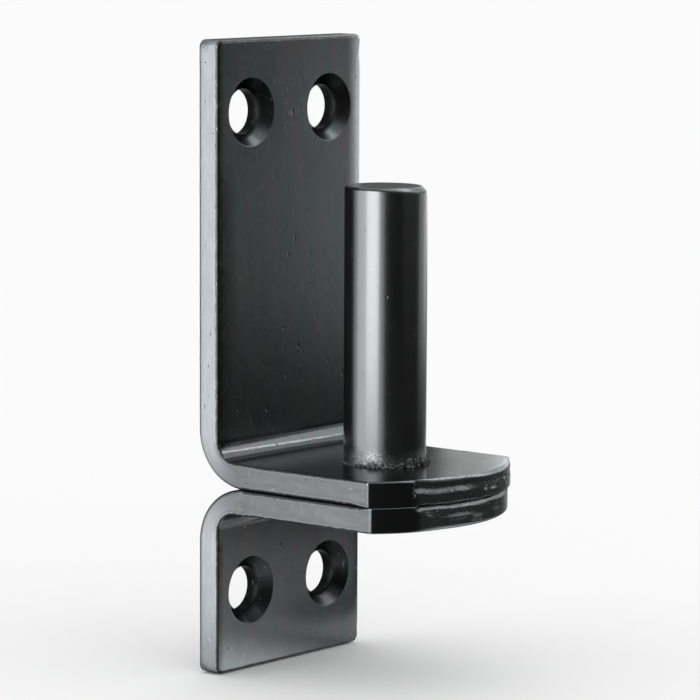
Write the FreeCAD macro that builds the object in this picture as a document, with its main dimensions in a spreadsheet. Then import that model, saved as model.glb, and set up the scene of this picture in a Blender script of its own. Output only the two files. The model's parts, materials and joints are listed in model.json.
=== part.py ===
import FreeCAD, Part
import math
import os
import Sketcher
from FreeCAD import Placement, Rotation, Vector

# Hinge pintle on a screw-on plate.
# Two bent flat bars lie tongue on tongue, and an upright pin stands on them.
# Millimetres. +X runs across the plate, +Y into the post, +Z up along the pin.
# The origin is the centre of the four screw holes, on the face that meets the post.

SIZES = [
    ("plate_width", 35.0, "width of both flat bars"),
    ("plate_thick", 4.0, "thickness of both flat bars"),
    ("upper_leg", 70.0, "upper leg, from the joint of the tongues to its end"),
    ("lower_leg", 30.0, "lower leg, from the joint of the tongues to its end"),
    ("bend_inside", 3.3, "inside radius of each bend"),
    ("bend_outside", 9.0, "outside radius of each bend, where the bar is drawn thinner"),
    ("tongue_side", 34.5, "back face to the end of a tongue's straight side"),
    ("tongue_reach", 42.0, "back face to the middle of a tongue's round nose"),
    ("corner_radius", 1.2, "corners at the end of each leg"),
    ("arris_radius", 0.4, "worn long edges of the flat bars"),
    ("screw_spacing", 19.0, "side by side distance of the screw holes"),
    ("upper_margin", 11.5, "upper screw holes to the end of the upper leg"),
    ("lower_margin", 12.5, "lower screw holes to the end of the lower leg"),
    ("screw_bore", 7.2, "diameter of the screw holes"),
    ("screw_sink", 10.8, "rim diameter of the countersinks"),
    ("sink_angle", 90.0, "full angle of the countersinks"),
    ("pin_offset", 23.5, "back face to the pin's axis"),
    ("pin_diameter", 13.0, "diameter of the pin"),
    ("pin_height", 43.5, "height of the pin above the tongue"),
    ("pin_chamfer", 0.8, "chamfer round the pin's top"),
    ("spigot_diameter", 9.0, "turned-down end that passes through both tongues"),
    ("rivet_spread", 1.2, "how far the spigot's end is spread, as wide as deep"),
    ("weld_bevel", 1.0, "bevel round the pin's foot that the weld fills"),
    ("weld_height", 1.5, "height of the weld on the pin"),
    ("weld_width", 1.0, "width of the weld on the tongue"),
    ("weld_lumps", 8.0, "number of lumps along the weld"),
    ("lump_radius", 0.85, "mean radius of a weld lump"),
    ("lump_uneven", 0.15, "how much the weld's lumps differ in radius, as a share"),
    ("lump_stray", 6.0, "how far a weld lump strays along the weld, in degrees"),
]

doc = FreeCAD.newDocument("hinge_pintle")
sheet = doc.addObject("Spreadsheet::Sheet", "sizes")
for row, (alias, value, meaning) in enumerate(SIZES, start=1):
    sheet.set(f"A{row}", meaning)
    sheet.set(f"B{row}", str(value))
    sheet.setAlias(f"B{row}", alias)
doc.recompute()


def size(alias):
    """The value of one named cell."""
    return float(sheet.get(alias))


def bind(target, prop, formula):
    """Bind a property to a formula in which a $ stands before each cell's name."""
    target.setExpression(prop, formula.replace("$", "sizes."))


# Heights in the frame of the finished part, as formulas of the sheet's cells.
PARTING = "(-(($upper_leg - $upper_margin) - ($lower_leg - $lower_margin)) / 2)"
TONGUE_TOP = f"({PARTING} + $plate_thick)"


def origin_plane(body, role):
    """One of a body's own origin planes, found by its role."""
    for feature in body.Origin.OriginFeatures:
        if feature.Role == role:
            return feature
    raise RuntimeError("no plane " + role)


def new_sketch(body, name, role):
    """An empty sketch on one of the body's origin planes."""
    sketch = body.newObject("Sketcher::SketchObject", name)
    sketch.AttachmentSupport = [(origin_plane(body, role), "")]
    sketch.MapMode = "FlatFace"
    return sketch


def closed_lines(sketch, points):
    """Lines from point to point and back to the first, joined at their ends."""
    count = len(points)
    for index, start in enumerate(points):
        stop = points[(index + 1) % count]
        sketch.addGeometry(Part.LineSegment(Vector(*start, 0), Vector(*stop, 0)), False)
    for index in range(count):
        sketch.addConstraint(Sketcher.Constraint("Coincident", index, 2, (index + 1) % count, 1))


def dimension(sketch, constraint, name, formula):
    """Add a named dimension and bind it to the sheet."""
    index = sketch.addConstraint(constraint)
    sketch.renameConstraint(index, name)
    bind(sketch, "Constraints." + name, formula)


def edges_where(shape, test):
    """Names of the edges that pass a test."""
    return [f"Edge{i}" for i, edge in enumerate(shape.Edges, start=1) if test(edge)]


def volume_after(feature, before, grows):
    """Recompute, and stop if a feature did not add or cut as it should."""
    doc.recompute()
    after = feature.Shape.Volume
    if (after > before) != grows or abs(after - before) < 1e-6:
        raise RuntimeError(feature.Label + " left the solid unchanged")
    return after


def angle_profile(body):
    """The bent flat bar seen from its side: a leg, a round bend and a tongue."""
    thick = size("plate_thick")
    inside = size("bend_inside")
    outside = size("bend_outside")
    corner = thick + inside
    leg = size("upper_leg")
    reach = size("tongue_reach")
    sketch = new_sketch(body, body.Name + "_profile", "YZ_Plane")
    axis = Vector(0, 0, 1)
    outer_circle = Part.Circle(Vector(-outside, outside, 0), axis, outside)
    inner_circle = Part.Circle(Vector(-corner, corner, 0), axis, inside)
    outer_arc = Part.ArcOfCircle(outer_circle, -math.pi / 2, 0)
    inner_arc = Part.ArcOfCircle(inner_circle, -math.pi / 2, 0)
    # geometry 0 to 7: back, outer bend, underside, nose, top, inner bend, front, leg end
    back, outer, under, nose, top, inner, front, leg_end = range(8)
    sketch.addGeometry(Part.LineSegment(Vector(0, leg, 0), Vector(0, outside, 0)), False)
    sketch.addGeometry(outer_arc, False)
    sketch.addGeometry(Part.LineSegment(Vector(-outside, 0, 0), Vector(-reach, 0, 0)), False)
    sketch.addGeometry(Part.LineSegment(Vector(-reach, 0, 0), Vector(-reach, thick, 0)), False)
    sketch.addGeometry(Part.LineSegment(Vector(-reach, thick, 0), Vector(-corner, thick, 0)), False)
    sketch.addGeometry(inner_arc, False)
    sketch.addGeometry(Part.LineSegment(Vector(-thick, corner, 0), Vector(-thick, leg, 0)), False)
    sketch.addGeometry(Part.LineSegment(Vector(-thick, leg, 0), Vector(0, leg, 0)), False)
    rules = [
        ("Tangent", back, 2, outer, 2), ("Tangent", outer, 1, under, 1),
        ("Coincident", under, 2, nose, 1), ("Coincident", nose, 2, top, 1),
        ("Tangent", top, 2, inner, 1), ("Tangent", inner, 2, front, 1),
        ("Coincident", front, 2, leg_end, 1), ("Coincident", leg_end, 2, back, 1),
        ("Vertical", back), ("Horizontal", under), ("Vertical", nose), ("Horizontal", leg_end),
        ("PointOnObject", back, 1, -2), ("PointOnObject", under, 1, -1),
    ]
    for rule in rules:
        sketch.addConstraint(Sketcher.Constraint(*rule))
    dimension(sketch, Sketcher.Constraint("Radius", inner, inside), "inside", "$bend_inside")
    dimension(sketch, Sketcher.Constraint("Radius", outer, outside), "outside", "$bend_outside")
    dimension(sketch, Sketcher.Constraint("DistanceX", leg_end, 1, leg_end, 2, thick),
              "leg_thick", "$plate_thick")
    dimension(sketch, Sketcher.Constraint("DistanceY", nose, 1, nose, 2, thick),
              "tongue_thick", "$plate_thick")
    dimension(sketch, Sketcher.Constraint("DistanceX", under, 2, -1, 1, reach),
              "reach", "$tongue_reach")
    return sketch, leg_end


def angle_bar(name, leg_cell, margin_cell):
    """One bent flat bar, standing with its back on Y = 0 and its tongue's outer face on Z = 0."""
    body = doc.addObject("PartDesign::Body", name)
    body.Label = name
    profile, leg_end = angle_profile(body)
    dimension(profile, Sketcher.Constraint("DistanceY", -1, 1, leg_end, 2, size("upper_leg")),
              "leg", leg_cell)
    bar = body.newObject("PartDesign::Pad", name + "_bar")
    bar.Profile = profile
    bar.Midplane = True
    bind(bar, "Length", "$plate_width")
    volume = volume_after(bar, 0.0, True)

    volume = crop_nose(body, name, volume)
    volume = bore_spigot_hole(body, name, volume)
    volume = drill_screw_holes(body, name, leg_cell, margin_cell, volume)
    return body, volume


def crop_nose(body, name, volume):
    """Cut the tongue's end to one wide arc that meets the straight sides at a corner."""
    half = size("plate_width") / 2
    side = size("tongue_side")
    reach = size("tongue_reach")
    rise = reach - side
    radius = (half ** 2 + rise ** 2) / (2 * rise)
    centre = Vector(0, radius - reach, 0)
    spread = math.asin(half / radius)
    waste = 5.0
    sketch = new_sketch(body, name + "_nose_line", "XY_Plane")
    arc = Part.ArcOfCircle(Part.Circle(centre, Vector(0, 0, 1), radius),
                           -math.pi / 2 - spread, -math.pi / 2 + spread)
    sketch.addGeometry(arc, False)
    corners = [(half, -side), (half + waste, -side), (half + waste, -reach - waste),
               (-half - waste, -reach - waste), (-half - waste, -side), (-half, -side)]
    for start, stop in zip(corners[:-1], corners[1:]):
        sketch.addGeometry(Part.LineSegment(Vector(*start, 0), Vector(*stop, 0)), False)
    for line in range(1, 5):
        sketch.addConstraint(Sketcher.Constraint("Coincident", line, 2, line + 1, 1))
    rules = [
        ("Coincident", 0, 2, 1, 1), ("Coincident", 5, 2, 0, 1),
        ("Horizontal", 1), ("Vertical", 2), ("Horizontal", 3), ("Vertical", 4), ("Horizontal", 5),
        ("PointOnObject", 0, 3, -2),
    ]
    for rule in rules:
        sketch.addConstraint(Sketcher.Constraint(*rule))
    dimension(sketch, Sketcher.Constraint("DistanceX", 0, 1, 0, 2, 2 * half),
              "chord", "$plate_width")
    dimension(sketch, Sketcher.Constraint("DistanceY", 0, 2, -1, 1, side),
              "side_end", "$tongue_side")
    dimension(sketch, Sketcher.Constraint("Radius", 0, radius), "nose_arc",
              "(($plate_width / 2) ^ 2 + ($tongue_reach - $tongue_side) ^ 2)"
              " / (2 * ($tongue_reach - $tongue_side))")
    sketch.addConstraint(Sketcher.Constraint("DistanceX", 1, 1, 1, 2, waste))
    sketch.addConstraint(Sketcher.Constraint("DistanceX", 5, 1, 5, 2, waste))
    dimension(sketch, Sketcher.Constraint("DistanceY", 3, 1, -1, 1, reach + waste),
              "clear_of_nose", f"$tongue_reach + {waste}")
    crop = body.newObject("PartDesign::Pocket", name + "_nose")
    crop.Profile = sketch
    crop.Type = "ThroughAll"
    crop.Reversed = True
    return volume_after(crop, volume, False)


def bore_spigot_hole(body, name, volume):
    """The round hole in the tongue that the pin's spigot passes through."""
    offset = size("pin_offset")
    sketch = new_sketch(body, name + "_spigot_circle", "XY_Plane")
    circle = Part.Circle(Vector(0, -offset, 0), Vector(0, 0, 1), size("spigot_diameter") / 2)
    sketch.addGeometry(circle, False)
    sketch.addConstraint(Sketcher.Constraint("PointOnObject", 0, 3, -2))
    dimension(sketch, Sketcher.Constraint("DistanceY", 0, 3, -1, 1, offset),
              "from_back", "$pin_offset")
    dimension(sketch, Sketcher.Constraint("Diameter", 0, size("spigot_diameter")),
              "hole", "$spigot_diameter")
    bore = body.newObject("PartDesign::Pocket", name + "_spigot_hole")
    bore.Profile = sketch
    bore.Type = "ThroughAll"
    bore.Reversed = True
    return volume_after(bore, volume, False)


def drill_screw_holes(body, name, leg_cell, margin_cell, volume):
    """Two countersunk screw holes side by side near the end of the leg."""
    spacing = size("screw_spacing")
    height = size(leg_cell[1:]) - size(margin_cell[1:])
    sketch = new_sketch(body, name + "_screw_centres", "XZ_Plane")
    bind(sketch, "AttachmentOffset.Base.z", "$plate_thick")
    for side in (-1, 1):
        centre = Vector(side * spacing / 2, height, 0)
        sketch.addGeometry(Part.Circle(centre, Vector(0, 0, 1), size("screw_bore") / 2), False)
    sketch.addConstraint(Sketcher.Constraint("Equal", 0, 1))
    sketch.addConstraint(Sketcher.Constraint("Symmetric", 0, 3, 1, 3, -2))
    dimension(sketch, Sketcher.Constraint("DistanceX", 0, 3, 1, 3, spacing),
              "spacing", "$screw_spacing")
    dimension(sketch, Sketcher.Constraint("DistanceY", -1, 1, 0, 3, height),
              "row_height", f"{leg_cell} - {margin_cell}")
    dimension(sketch, Sketcher.Constraint("Diameter", 0, size("screw_bore")),
              "bore", "$screw_bore")
    doc.recompute()
    holes = body.newObject("PartDesign::Hole", name + "_screw_holes")
    holes.Profile = sketch
    doc.recompute()
    holes.Threaded = False
    holes.DepthType = "ThroughAll"
    holes.HoleCutType = "Countersink"
    bind(holes, "Diameter", "$screw_bore")
    bind(holes, "HoleCutDiameter", "$screw_sink")
    bind(holes, "HoleCutCountersinkAngle", "$sink_angle")
    return volume_after(holes, volume, False)


def round_leg_corners(body, name, leg_cell, volume):
    """Round the two corners at the end of the leg."""
    half = size("plate_width") / 2
    leg = size(leg_cell[1:])

    def at_leg_corner(edge):
        middle = edge.BoundBox.Center
        along_y = edge.BoundBox.YLength > edge.BoundBox.ZLength + edge.BoundBox.XLength
        return along_y and abs(abs(middle.x) - half) < 1e-3 and abs(middle.z - leg) < 1e-3

    base = body.Tip
    corners = body.newObject("PartDesign::Fillet", name + "_corners")
    corners.Base = (base, edges_where(base.Shape, at_leg_corner))
    bind(corners, "Radius", "$corner_radius")
    return volume_after(corners, volume, False)


def soften_edges(body, name, volume):
    """Round the long edges of the bar: both sides and the leg's end, front and back."""
    half = size("plate_width") / 2
    thick = size("plate_thick")

    def on_long_edge(edge):
        box = edge.BoundBox
        on_side = abs(abs(box.XMin) - half) < 1e-3 and box.XLength < 1e-3
        across = box.YLength < 1e-3 and box.ZLength < 1e-3
        leg_end = across and box.Center.z > thick * 2
        corner = box.YLength < 1e-3 and abs(box.XLength - size("corner_radius")) < 1e-3
        short_nose_corner = on_side and box.YLength < 1e-3 and box.ZLength <= thick + 1e-3
        return (on_side and not short_nose_corner) or leg_end or corner

    base = body.Tip
    soft = body.newObject("PartDesign::Fillet", name + "_arrises")
    soft.Base = (base, edges_where(base.Shape, on_long_edge))
    bind(soft, "Radius", "$arris_radius")
    return volume_after(soft, volume, False)


def spread_rivet_seat(body, name, volume):
    """Countersink the lower tongue where the spigot's end is spread into it."""
    thick = size("plate_thick")
    radius = size("spigot_diameter") / 2

    def spigot_rim(edge):
        if not isinstance(edge.Curve, Part.Circle):
            return False
        centre = edge.Curve.Center
        level = abs(centre.z - thick) < 1e-3 and abs(centre.y + size("pin_offset")) < 1e-3
        return level and abs(edge.Curve.Radius - radius) < 1e-3

    base = body.Tip
    seat = body.newObject("PartDesign::Chamfer", name + "_rivet_seat")
    seat.Base = (base, edges_where(base.Shape, spigot_rim))
    bind(seat, "Size", "$rivet_spread")
    return volume_after(seat, volume, False)


def make_upper_plate():
    """The tall bar: leg up, tongue forward, with the weld and the pin on its tongue."""
    body, volume = angle_bar("upper_plate", "$upper_leg", "$upper_margin")
    volume = round_leg_corners(body, "upper_plate", "$upper_leg", volume)
    soften_edges(body, "upper_plate", volume)
    bind(body, "Placement.Base.z", PARTING)
    return body


def make_lower_plate():
    """The short bar: the same bend turned over, leg down, under the upper tongue."""
    body, volume = angle_bar("lower_plate", "$lower_leg", "$lower_margin")
    volume = spread_rivet_seat(body, "lower_plate", volume)
    volume = round_leg_corners(body, "lower_plate", "$lower_leg", volume)
    soften_edges(body, "lower_plate", volume)
    body.Placement = Placement(Vector(0, 0, 0), Rotation(Vector(0, 1, 0), 180))
    bind(body, "Placement.Base.z", PARTING)
    return body


def make_pin():
    """The turned pin: chamfered top, bevelled foot, and a spigot spread at its lower end."""
    body = doc.addObject("PartDesign::Body", "pin")
    body.Label = "pin"
    radius = size("pin_diameter") / 2
    spigot = size("spigot_diameter") / 2
    spread = size("rivet_spread")
    bevel = size("weld_bevel")
    chamfer = size("pin_chamfer")
    height = size("pin_height")
    stack = 2 * size("plate_thick")
    points = [(0, -stack), (spigot + spread, -stack), (spigot, spread - stack), (spigot, 0),
              (radius - bevel, 0), (radius, size("weld_height")), (radius, height - chamfer),
              (radius - chamfer, height), (0, height)]
    sketch = new_sketch(body, "pin_profile", "XZ_Plane")
    closed_lines(sketch, points)
    end, rivet, spigot_wall, shoulder, foot, wall, top_chamfer, top, axis = range(9)
    rules = [("Horizontal", end), ("Vertical", spigot_wall), ("PointOnObject", shoulder, 1, -1),
             ("Horizontal", shoulder), ("Vertical", wall), ("Horizontal", top),
             ("PointOnObject", axis, 1, -2), ("PointOnObject", axis, 2, -2)]
    for rule in rules:
        sketch.addConstraint(Sketcher.Constraint(*rule))
    dims = [
        (("DistanceY", end, 1, -1, 1, stack), "stack", "2 * $plate_thick"),
        (("DistanceX", -1, 1, spigot_wall, 1, spigot), "spigot", "$spigot_diameter / 2"),
        (("DistanceX", rivet, 2, rivet, 1, spread), "rivet_out", "$rivet_spread"),
        (("DistanceY", rivet, 1, rivet, 2, spread), "rivet_up", "$rivet_spread"),
        (("DistanceX", -1, 1, wall, 1, radius), "radius", "$pin_diameter / 2"),
        (("DistanceX", foot, 1, foot, 2, bevel), "bevel", "$weld_bevel"),
        (("DistanceY", foot, 1, foot, 2, size("weld_height")), "foot", "$weld_height"),
        (("DistanceY", -1, 1, top, 1, height), "height", "$pin_height"),
        (("DistanceX", top_chamfer, 2, top_chamfer, 1, chamfer), "chamfer_in", "$pin_chamfer"),
        (("DistanceY", top_chamfer, 1, top_chamfer, 2, chamfer), "chamfer_up", "$pin_chamfer"),
    ]
    for rule, name, formula in dims:
        dimension(sketch, Sketcher.Constraint(*rule), name, formula)
    turned = body.newObject("PartDesign::Revolution", "pin_turned")
    turned.Profile = sketch
    turned.ReferenceAxis = (sketch, ["V_Axis"])
    turned.Angle = 360.0
    volume_after(turned, 0.0, True)
    bind(body, "Placement.Base.y", "-$pin_offset")
    bind(body, "Placement.Base.z", TONGUE_TOP)
    return body


def make_weld_bead():
    """The weld round the pin's foot: a ring with lumps along it, cut to its two seats."""
    pin_radius = "$pin_diameter / 2"
    ring = doc.addObject("Part::Cone", "weld_ring")
    bind(ring, "Radius1", f"{pin_radius} + $weld_width")
    bind(ring, "Radius2", pin_radius)
    bind(ring, "Height", "$weld_height")
    heap = doc.addObject("Part::MultiFuse", "weld_heap")
    heap.Shapes = [ring] + weld_lumps(pin_radius)

    below = doc.addObject("Part::Cylinder", "weld_below")
    bind(below, "Radius", "$pin_diameter")
    bind(below, "Height", "$pin_diameter")
    bind(below, "Placement.Base.z", "-$pin_diameter")
    foot = doc.addObject("Part::Cone", "weld_foot")
    bind(foot, "Radius1", f"{pin_radius} - $weld_bevel")
    bind(foot, "Radius2", pin_radius)
    bind(foot, "Height", "$weld_height")
    wall = doc.addObject("Part::Cylinder", "weld_wall")
    bind(wall, "Radius", pin_radius)
    bind(wall, "Height", "$weld_height")
    bind(wall, "Placement.Base.z", "$weld_height")
    seats = doc.addObject("Part::MultiFuse", "weld_seats")
    seats.Shapes = [below, foot, wall]
    bead = doc.addObject("Part::Cut", "weld_bead")
    bead.Label = "weld_bead"
    bead.Base = heap
    bead.Tool = seats
    bind(bead, "Placement.Base.y", "-$pin_offset")
    bind(bead, "Placement.Base.z", TONGUE_TOP)
    return bead


def weld_lumps(pin_radius):
    """Balls set round the middle of the weld, uneven in size and spacing."""
    golden_angle = math.pi * (3 - math.sqrt(5))
    middle = f"({pin_radius} + $weld_width / 4)"
    count = int(round(size("weld_lumps")))
    lumps = []
    for index in range(count):
        lump = doc.addObject("Part::Sphere", f"weld_lump_{index + 1}")
        wave = math.sin(index * golden_angle)
        sway = math.cos(index * golden_angle)
        turn = f"({index} * 360 / {count} + $lump_stray * {sway:.3f}) * 1 deg"
        bind(lump, "Radius", f"$lump_radius * (1 + $lump_uneven * {wave:.3f})")
        bind(lump, "Placement.Base.x", f"{middle} * cos({turn})")
        bind(lump, "Placement.Base.y", f"{middle} * sin({turn})")
        bind(lump, "Placement.Base.z", "$weld_height / 6")
        lumps.append(lump)
    return lumps


def main():
    """Build every piece, check it and write one file for each."""
    pieces = [make_upper_plate(), make_lower_plate(), make_pin(), make_weld_bead()]
    doc.recompute()
    failed = [obj.Label for obj in doc.Objects if {"Invalid", "Error"} & set(obj.State)]
    if failed:
        raise RuntimeError("failed objects: " + ", ".join(failed))
    os.makedirs("parts", exist_ok=True)
    for piece in pieces:
        shape = piece.Shape
        if shape.isNull() or not shape.isValid() or len(shape.Solids) != 1:
            raise RuntimeError("bad shape: " + piece.Label)
    for piece in pieces:
        shape = piece.Shape
        shape.exportStep(os.path.join("parts", piece.Label + ".step"))
        box = shape.BoundBox
        print(f"{piece.Label:12s} {shape.Volume:9.1f} mm3  x {box.XMin:.2f} {box.XMax:.2f}"
              f"  y {box.YMin:.2f} {box.YMax:.2f}  z {box.ZMin:.2f} {box.ZMax:.2f}"
              f"  faces {len(shape.Faces)}")


main()
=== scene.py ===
import json
import math

import bmesh
import bpy
from bpy.props import FloatProperty, FloatVectorProperty, PointerProperty
from bpy.types import Operator, Panel, PropertyGroup
from mathutils import Matrix, Vector, noise


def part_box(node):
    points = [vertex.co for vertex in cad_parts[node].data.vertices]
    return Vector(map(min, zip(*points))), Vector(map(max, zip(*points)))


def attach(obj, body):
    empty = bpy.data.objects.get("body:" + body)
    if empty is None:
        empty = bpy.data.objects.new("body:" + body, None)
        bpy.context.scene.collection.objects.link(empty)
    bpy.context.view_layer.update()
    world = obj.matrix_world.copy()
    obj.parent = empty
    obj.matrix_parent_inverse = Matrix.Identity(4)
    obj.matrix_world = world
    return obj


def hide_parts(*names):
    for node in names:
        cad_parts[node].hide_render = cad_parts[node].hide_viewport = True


bl_info = {
    "name": "Hinge pintle",
    "version": (1, 0, 0),
    "blender": (4, 5, 0),
    "location": "View3D > Sidebar > Pintle",
    "description": "Dresses a screw-on hinge pintle of bent flat bar, pin and weld",
    "category": "Object",
}

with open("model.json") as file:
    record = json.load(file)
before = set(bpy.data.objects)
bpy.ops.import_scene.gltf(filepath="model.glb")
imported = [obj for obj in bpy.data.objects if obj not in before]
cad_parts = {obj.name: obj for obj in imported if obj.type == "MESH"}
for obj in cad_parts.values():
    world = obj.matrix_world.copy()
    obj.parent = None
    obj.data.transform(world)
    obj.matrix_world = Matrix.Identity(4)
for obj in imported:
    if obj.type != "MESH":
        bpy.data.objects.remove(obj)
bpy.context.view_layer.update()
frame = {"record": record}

MM = 0.001
BODY = "root"
PHOTO_PIXELS = 700
CAMERA_AIM = Vector((0.0, -20.0, -0.5)) * MM
CAMERA_SLIDE = Vector((-2.81, 1.38)) * MM
FLOOR_WHITE = (0.97, 0.97, 0.97)
CARD_TOP = 0.2
CARD_STEPS = 24
FLOOR_REACH = 6.0
# Turns of the key box's two sides from the camera, in degrees.
KEY_BOX_SIDES = (-19.0, -55.0)
# Turn and height of the top box in degrees, its distance and its two sides in metres.
TOP_BOX_TURN, TOP_BOX_HEIGHT, TOP_BOX_DISTANCE = 140.0, 62.0, 0.5
TOP_BOX_SIDES = (0.35, 0.18)
PIN_STEPS = 192
WELD_STEPS = 720
WELD_SECTION = 34
ARC_STEPS = 5
# The side of the pin where its weld is fullest and its chamfer widest.
FULL_SIDE = Vector((0.63, -0.77, 0.0))
# The numbers that each point of a bar keeps for its material, besides "flat" and "side". The
# arris, rim and hole marks are painted shade and painted highlights.
BAR_MARKS = ("arris", "rim", "scuffed", "nose", "torn", "flank", "leg_flank", "painted_hole_shade")


def mount(name):
    """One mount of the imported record."""
    for entry in frame["record"]["mounts"]:
        if entry["name"] == name:
            return entry
    raise RuntimeError("the record has no mount " + name)


PIN_MOUNT = mount("pintle_pin")
SCREW_MOUNT = mount("screw_holes")
UPPER_LOW, UPPER_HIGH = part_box("upper_plate")
LOWER_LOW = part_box("lower_plate")[0]
PIN_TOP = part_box("pin")[1].z
WELD_LOW, WELD_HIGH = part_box("weld_bead")
BOTTOM = LOWER_LOW.z
GROUND = BOTTOM - 0.1 * MM
PARTING = UPPER_LOW.z
TONGUE_TOP = WELD_LOW.z
THICKNESS = TONGUE_TOP - PARTING
HALF_WIDTH = UPPER_HIGH.x
REACH = -UPPER_LOW.y
PIN_RADIUS = PIN_MOUNT["dims"]["r_mm"] * MM
PIN_Y = PIN_MOUNT["pos_m"][1]
HOLE_RADIUS = SCREW_MOUNT["dims"]["hole_r_mm"] * MM
HOLE_SPACING = SCREW_MOUNT["dims"]["spacing_x_mm"] * MM
ROW_SPACING = SCREW_MOUNT["dims"]["spacing_y_mm"] * MM


def length(name, description, millimetres):
    """A length that a user may change, given in millimetres."""
    return FloatProperty(name=name, description=description, default=millimetres * MM,
                         unit="LENGTH")


def angle(name, description, degrees):
    """An angle that a user may change, given in degrees."""
    return FloatProperty(name=name, description=description, default=math.radians(degrees),
                         subtype="ANGLE")


def share_of_one(name, description, share):
    """A number from 0 to 1 that a user may change."""
    return FloatProperty(name=name, description=description, default=share,
                         subtype="FACTOR", min=0.0, max=1.0)


def number(name, description, value):
    """A bare number that a user may change."""
    return FloatProperty(name=name, description=description, default=value)


def tint(name, description, colour):
    """A reflected colour that a user may change."""
    return FloatVectorProperty(name=name, description=description, subtype="COLOR", size=3,
                               min=0.0, max=1.0, default=colour)


class PintleSizes(PropertyGroup):
    """Sizes of the dressed pieces that the frame doesn't give."""

    bend_inside: length("Inside bend", "Inside radius of each bend", 2.6)
    bend_outside: length("Outside bend", "Outside radius of each bend", 9.0)
    bend_press: length(
        "Bend press", "How far the inside of a bend stands in from a true arc", 0.30)
    bend_rise: length(
        "Bend rise", "How far the tongue's inner face stands up by the bend", 0.20)
    rise_length: length(
        "Rise length", "How far along the tongue that rise fades out", 8.0)
    tongue_side: length(
        "Tongue side", "Back face to the end of a tongue's straight side", 34.5)
    upper_skew: number("Upper skew", "Slope of the upper nose's crop across the bar", 0.015)
    lower_skew: number("Lower skew", "Slope of the lower nose's crop across the bar", 0.020)
    corner_radius: length(
        "Leg corner", "Radius of the corners at the end of each leg", 1.2)
    nose_corner: length(
        "Nose corner", "Radius where a straight side meets the nose", 0.6)
    arris: length("Arris", "Radius of the bar's long edges", 0.4)
    unevenness: share_of_one("Unevenness", "How much an arris varies along the bar", 0.35)
    crown_reach: length(
        "Crown reach", "How far the soft front edge reaches over the bar's face", 1.6)
    crown_depth: length("Crown depth", "How deep the soft front edge falls", 0.16)
    rollover_reach: length(
        "Rollover reach", "How far the shear pressed the tongue's face over", 1.15)
    rollover_depth: length(
        "Rollover depth", "How deep the shear pressed the nose's edge over", 0.64)
    tear_depth: length(
        "Tear depth", "Depth of the torn ledges on the cropped noses", 0.50)
    sink_radius: length("Countersink", "Rim radius of the countersinks", 5.4)
    pin_chamfer: length("Pin chamfer", "Chamfer round the pin's top, where it is widest", 0.8)


class PintleFinish(PropertyGroup):
    """Colours and gloss of the blackened steel."""

    plate_tint: tint("Plate", "Reflected colour of the blackened bars", (0.165, 0.170, 0.173))
    edge_tint: tint(
        "Edge", "Reflected colour of the legs' thinly blackened sides", (0.335, 0.355, 0.375))
    pin_tint: tint("Pin", "Reflected colour of the blackened pin", (0.168, 0.172, 0.175))
    weld_tint: tint("Weld", "Reflected colour of the blackened weld", (0.09, 0.09, 0.092))
    gloss: share_of_one("Roughness", "Roughness of the smooth faces", 0.21)


class PintleStage(PropertyGroup):
    """Where the camera stands and how strong the lamps are."""

    azimuth: angle("Azimuth", "Turn of the camera from straight ahead", 50.69)
    elevation: angle("Elevation", "Height of the camera above the level", 7.18)
    roll: angle("Roll", "Tilt of the camera about its own axis", 0.26)
    distance: length("Distance", "Camera to the middle of the part", 585.5)
    focal_pixels: number("Focal length", "Focal length in pixels of the photograph", 3725.4)
    key_light: number(
        "Key", "Light of the soft box before the part, floor white being 1", 3.9)
    side_light: number("Side", "Light of the bright card beside the part", 2.3)
    top_light: number("Top", "Light of the soft box above the part", 1.7)
    ring_radius: length("Ring", "How far the soft boxes stand from the pin", 260.0)
    card_radius: length(
        "Card", "How far from the pin the dark cards begin on the floor", 24.0)


class Value:
    """A node socket that Python's own operators can work on."""

    def __init__(self, tree, socket):
        self.tree = tree
        self.socket = socket

    def join(self, operation, first, second):
        node = self.tree.node("ShaderNodeMath", {"operation": operation}, {0: first, 1: second})
        return self.tree.value(node.outputs[0])

    def __add__(self, other):
        return self.join("ADD", self, other)

    def __radd__(self, other):
        return self.join("ADD", other, self)

    def __sub__(self, other):
        return self.join("SUBTRACT", self, other)

    def __rsub__(self, other):
        return self.join("SUBTRACT", other, self)

    def __mul__(self, other):
        return self.join("MULTIPLY", self, other)

    def __rmul__(self, other):
        return self.join("MULTIPLY", other, self)


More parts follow.
